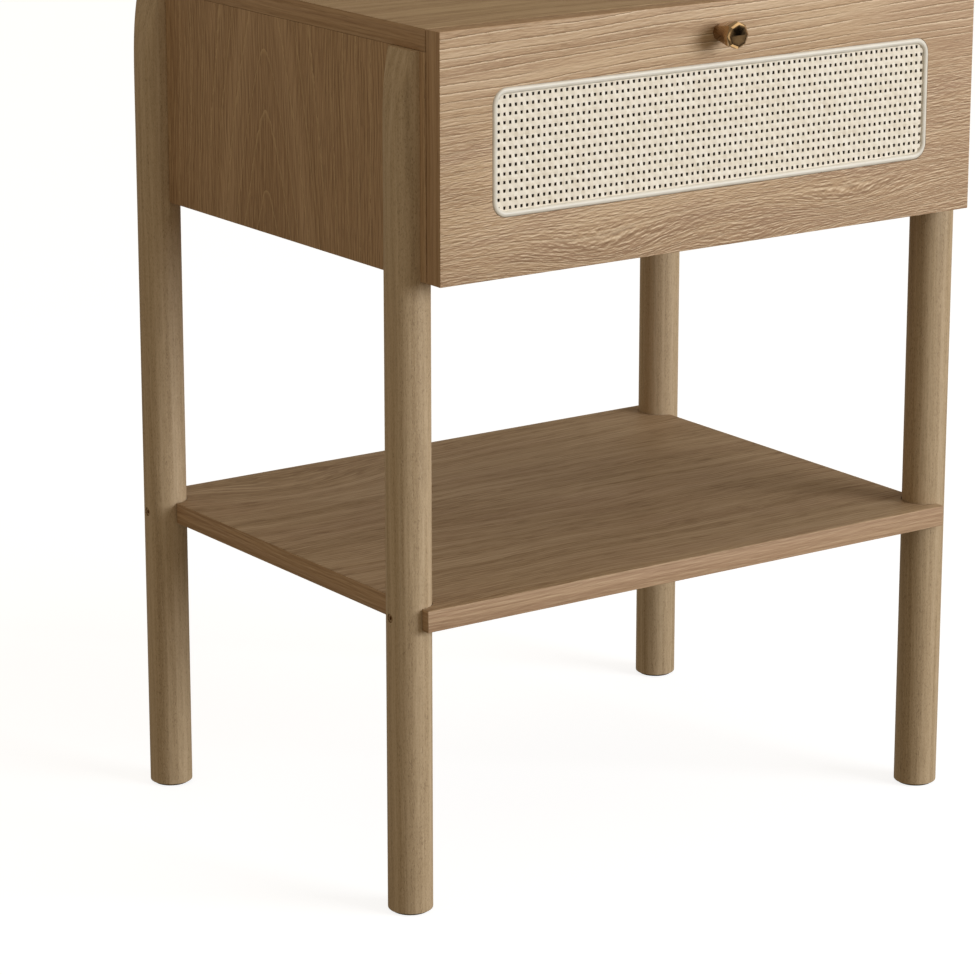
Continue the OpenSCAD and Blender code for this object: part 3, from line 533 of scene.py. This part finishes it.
def backingAndShadeFinish():
    finish, tree, shader = newFinish("backingClothAndShade")
    u, v, w = axesOf(tree, "X", "Z")
    warp = calc(tree, 'SINE', calc(tree, 'MULTIPLY', u, clothAndShadePaint["threads"]))
    weft = calc(tree, 'SINE', calc(tree, 'MULTIPLY', v, clothAndShadePaint["threads"]))
    weave = calc(tree, 'MULTIPLY_ADD', warp, weft, 1.0)
    threads = calc(tree, 'MULTIPLY', weave, 0.5)
    tree.links.new(ramp(tree, threads, [(0.2, clothAndShadePaint["dark"]), (0.8, clothAndShadePaint["light"])]),
                   shader.inputs["Base Color"])
    shader.inputs["Roughness"].default_value = clothAndShadePaint["rough"]
    relief(tree, shader, weave, clothAndShadePaint["relief"])
    return finish


def metal(name, changes):
    look = {"rough": 0.3, "grain": "Y", "across": "Z", "long": 30.0, "fine": 900.0, "cloud": 90.0,
            "relief": 0.00001}
    look.update(changes)
    finish, tree, shader = newFinish(name)
    u, v, w = axesOf(tree, look["grain"], look["across"])
    scratch = noise(tree, stretched(tree, (u, v, w), (look["long"], look["fine"], look["fine"])), 3.0, 0.6)
    cloud = noise(tree, stretched(tree, (u, v, w), (look["cloud"],) * 3), 3.0, 0.5)
    tree.links.new(ramp(tree, cloud, [(0.35, look["dull"]), (0.6, look["light"])]), shader.inputs["Base Color"])
    shader.inputs["Metallic"].default_value = 1.0
    roughAs(tree, shader, scratch, look["rough"] * 0.75, look["rough"] * 1.25)
    relief(tree, shader, scratch, look["relief"])
    return finish


def plain(name, look):
    finish, tree, shader = newFinish(name)
    u, v, w = axesOf(tree, "X", "Y")
    grit = noise(tree, stretched(tree, (u, v, w), (look["grit"],) * 3), 4.0, 0.6)
    tree.links.new(ramp(tree, grit, [(0.35, look["dark"]), (0.65, look["light"])]), shader.inputs["Base Color"])
    roughAs(tree, shader, grit, look["rough"] + 0.08, look["rough"] - 0.08)
    relief(tree, shader, grit, look["relief"])
    shader.inputs["Transmission Weight"].default_value = look.get("clear", 0.0)
    return finish


finishes["plySide"] = plywood("plywoodSide", "Y", "Z", {})
finishes["plyEnd"] = plywood("plywoodEnd", "X", "Z", {})
finishes["plyFlat"] = plywood("plywoodFlat", "X", "Y", {"layer": 0.0009})
finishes["dowel"] = plywood("beechDowel", "X", "Z", {
    "pale": (0.62, 0.45, 0.3), "deep": (0.5, 0.34, 0.2), "layer": 0.003})
finishes["caneUpright"] = caneFinish("caneUpright", "Z", "X")
finishes["caneLevel"] = caneFinish("caneLevel", "X", "Z")
finishes["rim"] = rimFinish()
finishes["backing"] = backingAndShadeFinish()
finishes["bronze"] = metal("antiqueBronze", {
    "light": (0.46, 0.32, 0.185), "dull": (0.35, 0.235, 0.13), "rough": 0.1, "long": 300.0, "relief": 0.000004})
finishes["rolled"] = metal("rolledZinc", {"light": (0.56, 0.57, 0.59), "dull": (0.5, 0.51, 0.53)})
finishes["bright"] = metal("brightSteel", {
    "light": (0.74, 0.75, 0.77), "dull": (0.6, 0.61, 0.63), "rough": 0.14, "relief": 0.000003})
finishes["zinc"] = metal("zincScrew", {
    "light": (0.58, 0.59, 0.6), "dull": (0.4, 0.41, 0.42), "rough": 0.28, "long": 700.0})
finishes["glide"] = plain("blackNylon", {
    "light": (0.03, 0.028, 0.026), "dark": (0.015, 0.014, 0.013), "rough": 0.6, "grit": 700.0,
    "relief": 0.00006})
finishes["bumper"] = plain("clearSilicone", {
    "light": (0.82, 0.83, 0.82), "dark": (0.7, 0.71, 0.7), "rough": 0.35, "grit": 400.0, "relief": 0.00002,
    "clear": 0.5})

slotFinish = {"oak_top": "top", "oak_side": "side", "oak_shelf": "shelf", "oak_front": "front",
              "oak_leg": "side", "birch": "plySide", "cane": "caneLevel", "cane_rim": "rim", "dark_backing": "backing",
              "bronze": "bronze", "slide_steel": "rolled", "ball_steel": "bright", "screw_zinc": "zinc",
              "glide": "glide", "bumper": "bumper"}
nodeFinish = {"back_panel": "plyEnd", "drawer_inner_front": "plyEnd", "drawer_back": "plyEnd",
              "drawer_bottom": "plyFlat", "carcase_dowels": "dowel", "drawer_dowels": "dowel"}
slotOf = {part["node"]: part["material_slot"] for part in frame["record"]["subparts"]}
for nodeName, node in cadNodes.items():
    finish = finishes[nodeFinish.get(nodeName, slotFinish[slotOf[nodeName]])]
    node.data.materials.clear()
    node.data.materials.append(finish)
print("finishes made:", len(finishes))


facing = 0.72       # a face looks along an axis when this much of its normal does


def board(node, name, body, face, ease, edges=None):
    # edges: finishes for the faces that look along an axis, such as {0: "topEdge"}
    piece = copyOfNode(node, name)
    easeBoxEdges(piece, node, ease)
    piece.data.materials.clear()
    piece.data.materials.append(finishes[face])
    for axis, finishName in (edges or {}).items():
        piece.data.materials.append(finishes[finishName])
        slotNumber = len(piece.data.materials) - 1
        for polygon in piece.data.polygons:
            if abs(polygon.normal[axis]) > facing:
                polygon.material_index = slotNumber
    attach(piece, body)
    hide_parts(node)
    return piece


boardEase = {"carcase": 0.0005, "top": 0.0006, "shelf": 0.0007, "drawer": 0.0006}
board("top_panel", "topBoard", "frame", "top", boardEase["top"], {0: "topEdge", 1: "topEdge"})
board("left_side_panel", "leftSideBoard", "frame", "side", boardEase["carcase"])
board("right_side_panel", "rightSideBoard", "frame", "side", boardEase["carcase"])
board("bottom_panel", "bottomBoard", "frame", "shelf", boardEase["carcase"])
board("lower_shelf", "shelfBoard", "frame", "shelf", boardEase["shelf"], {0: "shelfEnd", 1: "shelfEdge"})
board("drawer_front", "drawerFrontBoard", "drawer", "front", boardEase["drawer"],
      {0: "frontEdge", 2: "frontEdge"})
board("drawer_left_side", "drawerLeftBoard", "drawer", "plySide", boardEase["drawer"])
board("drawer_right_side", "drawerRightBoard", "drawer", "plySide", boardEase["drawer"])
board("drawer_inner_front", "drawerInnerBoard", "drawer", "plyEnd", boardEase["drawer"])
board("drawer_back", "drawerBackBoard", "drawer", "plyEnd", boardEase["drawer"])
print("boards eased")


legPlan = {
    "sides": 96,
    "chamfer": 0.001,
    "taperHeight": 0.070,      # of the sculpted top
    "taperLead": 0.005,        # how far below it the arc is level
    "tip": 0.0046,             # thickness at the very top
    "soften": 0.0026,          # width over which the arc runs into the round
    "below": 0.012,            # how far below the arc the rows start
    "step": 0.004,             # height of a row
    "screwHead": 0.0033,
    "headDepth": 0.0038,
    "headSides": 32,
    "cutterSize": 0.1,
    "cutterTall": 0.3,
    "recessLength": 0.02,
}


def leg(node, name, number):
    low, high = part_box(node)
    sign = 1.0 if low.x + high.x > 0 else -1.0
    radius = (high.y - low.y) / 2
    y = (low.y + high.y) / 2
    x = sign * (max(abs(low.x), abs(high.x)) - radius)
    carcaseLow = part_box("left_side_panel")[0].z
    bpy.ops.object.select_all(action='DESELECT')
    bpy.ops.mesh.primitive_cylinder_add(vertices=legPlan["sides"], radius=radius, depth=high.z - low.z,
                                        end_fill_type='NGON', location=(x, y, (low.z + high.z) / 2))
    piece = newest(name)
    settle(piece)
    selectEdges(piece, lambda a, b: max(abs(a.z - low.z), abs(b.z - low.z)) < touch)
    bpy.ops.mesh.bevel(offset=legPlan["chamfer"], segments=3, profile=0.5, affect='EDGES')
    start = high.z - legPlan["taperHeight"] - legPlan["below"]
    rows = int((high.z - start) / legPlan["step"])
    for row in range(rows):
        bpy.ops.mesh.select_all(action='SELECT')
        bpy.ops.mesh.bisect(plane_co=(0, 0, start + (row + 0.5) * legPlan["step"]), plane_no=(0, 0, 1))
    bpy.ops.object.mode_set(mode='OBJECT')
    # the sculpted top: one large arc that runs softly into the round
    drop = radius - legPlan["tip"]
    lead = legPlan["taperLead"]
    run = legPlan["taperHeight"] + lead
    reach = (run * run - lead * lead + drop * drop) / (2 * drop)
    arc = math.hypot(reach, lead)
    arcLevel = high.z - run
    for corner in piece.data.vertices:
        out = (corner.co.x - x) * sign
        rise = corner.co.z - arcLevel
        if out <= 0 or rise < 0:
            continue
        limit = radius - reach + math.sqrt(arc * arc - rise * rise)
        share = min(max(0.5 + 0.5 * (limit - out) / legPlan["soften"], 0.0), 1.0)
        soft = limit * (1 - share) + out * share - legPlan["soften"] * share * (1 - share)
        corner.co.x = x + sign * max(soft, 0.0)
    # the inner half gives way to the carcase
    size, tall = legPlan["cutterSize"], legPlan["cutterTall"]
    bpy.ops.mesh.primitive_cube_add(size=1, location=(x - sign * size / 2, y, carcaseLow + tall / 2),
                                    scale=(size, size, tall))
    cutter = newest("legCutter")
    settle(cutter)
    cutWith(piece, cutter)
    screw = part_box("shelf_screws")
    screwLevel = (screw[0].z + screw[1].z) / 2
    long = legPlan["recessLength"]
    recessX = x + sign * (radius - legPlan["headDepth"] + long / 2)
    bpy.ops.mesh.primitive_cylinder_add(vertices=legPlan["headSides"], radius=legPlan["screwHead"], depth=long,
                                        location=(recessX, y, screwLevel), rotation=(0, math.pi / 2, 0))
    cutter = newest("recessCutter")
    settle(cutter)
    cutWith(piece, cutter)
    smoothBelow(piece, 32)
    piece.data.materials.clear()
    piece.data.materials.append(legOak(name + "Oak", x, y, 0.011 * (number - 1.5)))
    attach(piece, "frame")
    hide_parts(node)
    return piece


for number, side in enumerate(("front_left", "front_right", "back_left", "back_right")):
    words = side.split("_")
    leg(side + "_leg", words[0] + words[1].capitalize() + "Leg", number)
print("legs turned")


canePlan = {
    "columns": 81, "rows": 15,
    "uprightWidth": 0.0027, "levelWidth": 0.0035,
    "pitchX": 0.0047, "pitchZ": 0.0058,
    "wave": 0.00024, "thick": 0.0004, "crown": 0.0001,
    "perCrossing": 6, "surface": 0.0007,            # height of the strands' middle in the webbing's solid
    "endGap": 0.0004,                               # how much shorter a strand is than the panel
    "rimWidth": 0.0045, "rimRound": 0.46, "rimSharp": 60, "rimSegments": 6,
}


def strand(name, length, width, crossings, pitch, phase, upright):
    # one flat strand, waved over and under its neighbours
    steps = crossings * canePlan["perCrossing"]
    bpy.ops.object.select_all(action='DESELECT')
    bpy.ops.mesh.primitive_grid_add(x_subdivisions=steps, y_subdivisions=3, size=1, location=(0, 0, 0))
    piece = newest(name)
    for corner in piece.data.vertices:
        along = corner.co.x * length
        across = corner.co.y
        wave = math.cos(math.pi * along / pitch + phase) * canePlan["wave"]
        rise = wave + canePlan["crown"] * (1 - (2 * across) ** 2)
        if upright:
            corner.co = Vector((across * width, -rise, along))
        else:
            corner.co = Vector((along, -rise, across * width))
    solid = piece.modifiers.new("thickness", 'SOLIDIFY')
    solid.thickness = canePlan["thick"]
    solid.offset = 0
    pickOnly(piece)
    bpy.ops.object.modifier_apply(modifier="thickness")
    bpy.ops.object.mode_set(mode='EDIT')
    bpy.ops.mesh.select_all(action='SELECT')
    bpy.ops.mesh.normals_make_consistent(inside=False)
    bpy.ops.object.mode_set(mode='OBJECT')
    smoothBelow(piece, 60)
    return piece


def weave():
    low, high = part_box("cane_webbing")
    middle = (low + high) / 2
    y = low.y + canePlan["surface"]
    width = high.x - low.x
    tall = high.z - low.z

    def layDown(upright):
        count = canePlan["columns"] if upright else canePlan["rows"]
        pitch = canePlan["pitchX"] if upright else canePlan["pitchZ"]
        crossPitch = canePlan["pitchZ"] if upright else canePlan["pitchX"]
        length = (tall if upright else width) - canePlan["endGap"]
        wide = canePlan["uprightWidth"] if upright else canePlan["levelWidth"]
        crossings = canePlan["rows"] + 1 if upright else canePlan["columns"] - 1
        # the two models differ by half a wave, so neighbours pass on opposite sides
        shift = 0.0 if upright else math.pi
        models = []
        for turn in (0, 1):
            phase = shift + math.pi * turn
            models.append(strand("strand" + str(turn), length, wide, crossings, crossPitch, phase, upright))
        pieces = []
        for number in range(count):
            offset = (number - (count - 1) / 2) * pitch
            model = models[number % 2]
            copy = model.copy()
            copy.data = model.data.copy()
            bpy.context.scene.collection.objects.link(copy)
            copy.location = (middle.x + offset, y, middle.z) if upright else (middle.x, y, middle.z + offset)
            pieces.append(copy)
        for model in models:
            bpy.data.objects.remove(model)
        bpy.ops.object.select_all(action='DESELECT')
        for copy in pieces:
            copy.select_set(True)
        bpy.context.view_layer.objects.active = pieces[0]
        bpy.ops.object.join()
        piece = newest("caneUprights" if upright else "caneLevels")
        settle(piece)
        piece.data.materials.clear()
        piece.data.materials.append(finishes["caneUpright" if upright else "caneLevel"])
        return piece

    uprights = layDown(True)
    levels = layDown(False)
    for piece in (uprights, levels):
        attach(piece, "drawer")
    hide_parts("cane_webbing")
    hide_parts("cane_webbing")


def rimBead():
    piece = copyOfNode("cane_rim", "caneRimBead")
    low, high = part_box("cane_rim")
    front = low.y
    deepen = canePlan["rimWidth"] / (high.y - low.y)
    # drawn deeper, rounded over, and drawn back, so the bead is a flat half ellipse
    spot = Vector((0, front, 0))
    selectFaces(piece, lambda centre, normal: True)
    bpy.ops.transform.resize(value=(1, deepen, 1), center_override=spot)
    bpy.ops.object.mode_set(mode='OBJECT')
    selectEdges(piece, lambda a, b: False)
    bpy.ops.mesh.edges_select_sharp(sharpness=math.radians(canePlan["rimSharp"]))
    bpy.ops.object.mode_set(mode='OBJECT')
    for edge in piece.data.edges:
        ends = [piece.data.vertices[number].co.y for number in edge.vertices]
        edge.select = edge.select and max(ends) < front + touch
    bpy.ops.object.mode_set(mode='EDIT')
    bpy.ops.mesh.bevel(offset=canePlan["rimWidth"] * canePlan["rimRound"], segments=canePlan["rimSegments"],
                       profile=0.5, affect='EDGES')
    bpy.ops.mesh.select_all(action='SELECT')
    bpy.ops.transform.resize(value=(1, 1 / deepen, 1), center_override=spot)
    bpy.ops.object.mode_set(mode='OBJECT')
    smoothBelow(piece, 50)
    piece.data.materials.clear()
    piece.data.materials.append(finishes["rim"])
    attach(piece, "drawer")
    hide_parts("cane_rim")


weave()
rimBead()
print("cane woven")


knobPlan = {
    "sides": 8, "neck": 0.0165, "base": 0.011, "head": 0.018, "chamfer": 0.002, "edge": 0.0004,
    "slope": 0.72,              # share of the chamfer that slopes in, the rest is the low point of the front
    "pointRight": 0.0012, "pointDown": 0.0008,
}


def knob():
    low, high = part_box("knob")
    middle = (low + high) / 2
    across = 1 / math.cos(math.pi / knobPlan["sides"])
    bpy.ops.object.select_all(action='DESELECT')
    bpy.ops.mesh.primitive_cylinder_add(vertices=knobPlan["sides"], radius=knobPlan["base"] / 2 * across,
                                        depth=knobPlan["neck"], rotation=(math.pi / 2, 0, 0),
                                        location=(middle.x, high.y - knobPlan["neck"] / 2, middle.z))
    piece = newest("knobBody")
    settle(piece)
    spot = Vector((middle.x, low.y, middle.z))
    # the neck flares, then the head runs on and narrows at its front
    selectFaces(piece, lambda centre, normal: normal.y < -0.9)
    bpy.ops.transform.resize(value=(knobPlan["head"] / knobPlan["base"],) * 3, center_override=spot)
    bpy.ops.object.mode_set(mode='OBJECT')
    fix = high.y - knobPlan["neck"]
    for corner in piece.data.vertices:
        if corner.co.y < high.y - 0.001:
            corner.co.y = fix
    selectFaces(piece, lambda centre, normal: normal.y < -0.9)
    headLength = high.y - low.y - knobPlan["neck"] - knobPlan["chamfer"]
    slope = knobPlan["chamfer"] * knobPlan["slope"]
    bpy.ops.mesh.extrude_region_move(TRANSFORM_OT_translate={"value": (0, -headLength, 0)})
    bpy.ops.mesh.extrude_region_move(TRANSFORM_OT_translate={"value": (0, -slope, 0)})
    narrow = (knobPlan["head"] - 2 * knobPlan["chamfer"]) / knobPlan["head"]
    bpy.ops.transform.resize(value=(narrow, 1, narrow), center_override=spot)
    bpy.ops.mesh.poke(offset=slope - knobPlan["chamfer"])
    bpy.ops.object.mode_set(mode='OBJECT')
    for corner in piece.data.vertices:
        if corner.co.y < low.y + 0.0005 and (corner.co - spot).length < 0.003:
            corner.co.x += knobPlan["pointRight"]
            corner.co.z -= knobPlan["pointDown"]
    selectEdges(piece, lambda a, b: min(a.y, b.y) < high.y - 0.001)
    bpy.ops.mesh.bevel(offset=knobPlan["edge"], segments=2, profile=0.6, affect='EDGES')
    bpy.ops.object.mode_set(mode='OBJECT')
    smoothBelow(piece, 12)
    piece.data.materials.clear()
    piece.data.materials.append(finishes["bronze"])
    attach(piece, "drawer")
    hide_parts("knob")


knob()
print("knob shaped")


def awayAt(turn, lift):
    # a direction by its turn to the right of the front and its lift over the level
    turn, lift = math.radians(turn), math.radians(lift)
    return Vector((math.sin(turn) * math.cos(lift), -math.cos(turn) * math.cos(lift), math.sin(lift)))


studioPlan = {
    "floorSize": 30, "floorDrop": 0.0002, "floorShade": (0.36, 0.36, 0.37, 1), "floorRough": 0.9,
    "floorGlow": 0.84,
    "roomLow": (0.2, 0.17, 0.125), "roomHigh": (0.48, 0.415, 0.315),
    "keyWidth": 3.2, "keyHeight": 2.6, "keyPower": 292, "keyColour": (0.9, 0.95, 1.0),
    "keyTurn": 32, "keyLift": 15, "keyAway": 6.0, "keyAim": (0, 0, 0.35),
    "cardAim": (0, -0.2, 0.606), "cardAway": 1.5, "cardShade": (0.01, 0.01, 0.012, 1),
    "cardGlow": (1.0, 0.9, 0.7, 1),
    # turn, lift, width, height, glow
    "cards": {"blackFlag": (37, -17, 0.8, 0.42, 0.0), "upperCard": (50, 42, 1.8, 0.8, 1.7),
              "lowerCard": (44, -60, 0.7, 0.5, 1.7), "leftCard": (-28, -8, 0.35, 1.4, 1.2)},
}


def glowing(name, shade, rough, glow, strength):
    finish, tree, shader = newFinish(name)
    shader.inputs["Base Color"].default_value = shade
    shader.inputs["Roughness"].default_value = rough
    shader.inputs["Specular IOR Level"].default_value = 0.0
    shader.inputs["Emission Color"].default_value = glow
    shader.inputs["Emission Strength"].default_value = strength
    return finish


def paleFloor():
    bpy.ops.object.select_all(action='DESELECT')
    bpy.ops.mesh.primitive_plane_add(size=studioPlan["floorSize"], location=(0, 0, -studioPlan["floorDrop"]))
    floor = newest("paleFloor")
    settle(floor)
    floor.data.materials.append(glowing("paleFloor", studioPlan["floorShade"], studioPlan["floorRough"],
                                        (1, 1, 1, 1), studioPlan["floorGlow"]))
    floor.visible_diffuse = False
    floor.visible_glossy = False


def dimRoom():
    # a warm dim room, a little lighter overhead
    world = bpy.data.worlds.new("studioRoom")
    bpy.context.scene.world = world
    world.use_nodes = True
    room = world.node_tree
    spot = room.nodes.new("ShaderNodeTexCoord")
    split = room.nodes.new("ShaderNodeSeparateXYZ")
    room.links.new(spot.outputs["Generated"], split.inputs[0])
    rise = level(room, split.outputs["Z"], -1.0, 1.0)
    shade = ramp(room, rise, [(0.0, studioPlan["roomLow"]), (1.0, studioPlan["roomHigh"])])
    room.links.new(shade, room.nodes["Background"].inputs["Color"])


def keyLight():
    key = bpy.data.lights.new("key", 'AREA')
    key.shape = 'RECTANGLE'
    key.size = studioPlan["keyWidth"]
    key.size_y = studioPlan["keyHeight"]
    key.energy = studioPlan["keyPower"]
    key.color = studioPlan["keyColour"]
    lamp = bpy.data.objects.new("key", key)
    bpy.context.scene.collection.objects.link(lamp)
    aim = Vector(studioPlan["keyAim"])
    lamp.location = aim + studioPlan["keyAway"] * awayAt(studioPlan["keyTurn"], studioPlan["keyLift"])
    lamp.rotation_euler = (aim - lamp.location).to_track_quat('-Z', 'Y').to_euler()


def shineCards():
    # a black flag and bright cards, which only polished metal shows
    for name, (turn, lift, width, tall, glow) in studioPlan["cards"].items():
        away = awayAt(turn, lift)
        bpy.ops.mesh.primitive_plane_add(size=1)
        card = newest(name)
        card.scale = (width, tall, 1)
        card.location = Vector(studioPlan["cardAim"]) + studioPlan["cardAway"] * away
        card.rotation_euler = away.to_track_quat('Z', 'Y').to_euler()
        settle(card)
        card.data.materials.append(glowing(name, studioPlan["cardShade"], 1.0, studioPlan["cardGlow"], glow))
        card.visible_camera = False
        card.visible_diffuse = False
        card.visible_shadow = False


cameraPlan = {"lens": 147.8, "sensor": 36, "farClip": 60, "eye": (-1.7077, -2.3386, 1.0399),
              "tiltDown": 15.48, "turn": -35.07}


def camera():
    lens = bpy.data.cameras.new("camera")
    lens.lens = cameraPlan["lens"]
    lens.sensor_width = cameraPlan["sensor"]
    lens.clip_end = cameraPlan["farClip"]
    eye = bpy.data.objects.new("camera", lens)
    bpy.context.scene.collection.objects.link(eye)
    eye.location = cameraPlan["eye"]
    eye.rotation_euler = (math.radians(90 - cameraPlan["tiltDown"]), 0, math.radians(cameraPlan["turn"]))
    bpy.context.scene.camera = eye


paleFloor()
dimRoom()
keyLight()
shineCards()
camera()
bpy.context.scene.view_settings.view_transform = 'Standard'
print("studio and camera ready")
